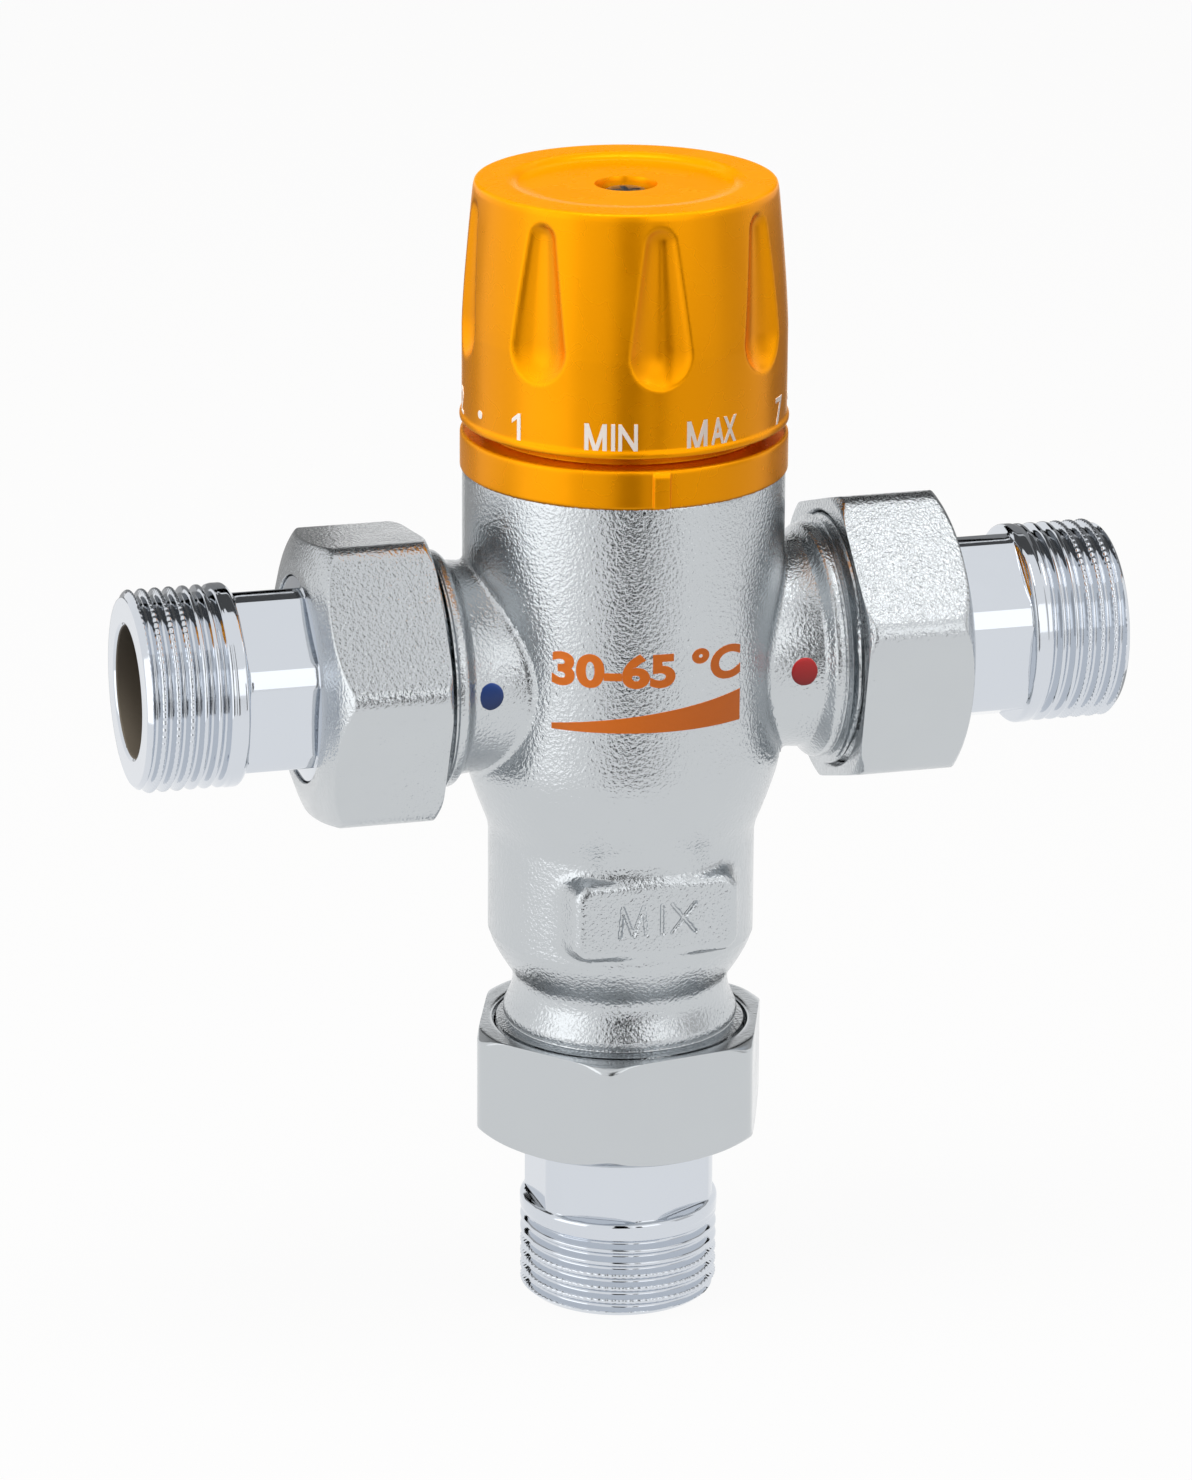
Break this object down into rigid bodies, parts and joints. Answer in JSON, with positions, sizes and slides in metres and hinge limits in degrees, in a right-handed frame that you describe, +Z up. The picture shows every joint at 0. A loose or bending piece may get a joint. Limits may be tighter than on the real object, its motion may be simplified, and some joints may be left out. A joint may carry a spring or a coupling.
{
  "type": "tempering mixing valve",
  "caption": "Three-port hot and cold water tempering valve with union ends, control knob and sealed wax regulator.",
  "frame": {"origin": "centre of the end face of the mixed-water outlet", "axes": "+Z up along the knob axis, +X towards the hot inlet, -Y the front face"},
  "size_m": [0.1328, 0.0433, 0.1531],
  "materials": {
    "body_plated": "nickel-chrome plated cast brass, satin pebbled",
    "nut_plated": "nickel-chrome plated forged brass, satin pebbled",
    "tail_plated": "nickel plated turned brass, bright",
    "knob_plastic": "satin-gloss yellow-orange moulded ABS",
    "dot_blue": "blue enamel",
    "dot_red": "red enamel",
    "seal_rubber": "black EPDM",
    "gasket_fibre": "grey-green fibre gasket",
    "brass": "turned brass",
    "stainless": "stainless steel",
    "screw_steel": "zinc plated steel",
    "cage_plastic": "black POM",
    "copper": "copper alloy capsule"
  },
  "bodies": {
    "valve": {"valve_body": "body_plated", "union_nut_cold": "nut_plated", "union_nut_hot": "nut_plated", "union_nut_mixed": "nut_plated", "tail_cold": "tail_plated", "tail_hot": "tail_plated", "tail_mixed": "tail_plated", "gasket_cold": "gasket_fibre", "gasket_hot": "gasket_fibre", "gasket_mixed": "gasket_fibre", "strainer_cold": "stainless", "strainer_hot": "stainless", "check_cage_cold": "cage_plastic", "check_cage_hot": "cage_plastic", "check_spring_cold": "stainless", "check_spring_hot": "stainless", "cold_dot": "dot_blue", "hot_dot": "dot_red", "bonnet": "brass", "bonnet_ring": "seal_rubber", "spool_seal": "seal_rubber", "return_spring": "stainless", "spring_seat": "stainless", "index_ring": "knob_plastic"},
    "knob_and_spindle": {"knob": "knob_plastic", "knob_screw": "screw_steel", "spindle": "brass", "spindle_ring": "seal_rubber"},
    "adjuster": {"adjusting_nut": "brass", "cap_clip": "stainless", "overtravel_spring": "stainless"},
    "thrust": {"thrust_cap": "brass", "element_pin": "stainless"},
    "shuttle": {"regulating_spool": "brass", "wax_element": "copper"},
    "poppet_cold": {"check_poppet_cold": "cage_plastic"},
    "poppet_hot": {"check_poppet_hot": "cage_plastic"}
  },
  "joints": [
    {"name": "knob_turn", "type": "hinge", "parent": "valve", "child": "knob_and_spindle", "pos_m": [0, 0, 0.1291], "axis": [0, 0, 1], "range_deg": [0, 340]},
    {"name": "adjuster_travel", "type": "slide", "parent": "valve", "child": "adjuster", "axis": [0, 0, 1], "range_m": [0, 0.00142]},
    {"name": "overtravel", "type": "slide", "parent": "adjuster", "child": "thrust", "axis": [0, 0, 1], "range_m": [0, 0.0012], "stiffness_N_per_m": 1500, "springref_m": -0.004, "deforming": ["overtravel_spring"]},
    {"name": "element_stroke", "type": "slide", "parent": "adjuster", "child": "shuttle", "axis": [0, 0, -1], "range_m": [0, 0.0022], "stiffness_N_per_m": 1000, "springref_m": -0.006, "deforming": ["return_spring"]},
    {"name": "check_cold_lift", "type": "slide", "parent": "valve", "child": "poppet_cold", "axis": [1, 0, 0], "range_m": [0, 0.003], "stiffness_N_per_m": 60, "springref_m": -0.002, "deforming": ["check_spring_cold"]},
    {"name": "check_hot_lift", "type": "slide", "parent": "valve", "child": "poppet_hot", "axis": [-1, 0, 0], "range_m": [0, 0.003], "stiffness_N_per_m": 60, "springref_m": -0.002, "deforming": ["check_spring_hot"]}
  ],
  "couplings": [
    {"joint": "adjuster_travel", "follows": "knob_turn", "m_per_rad": 0.00023873}
  ]
}
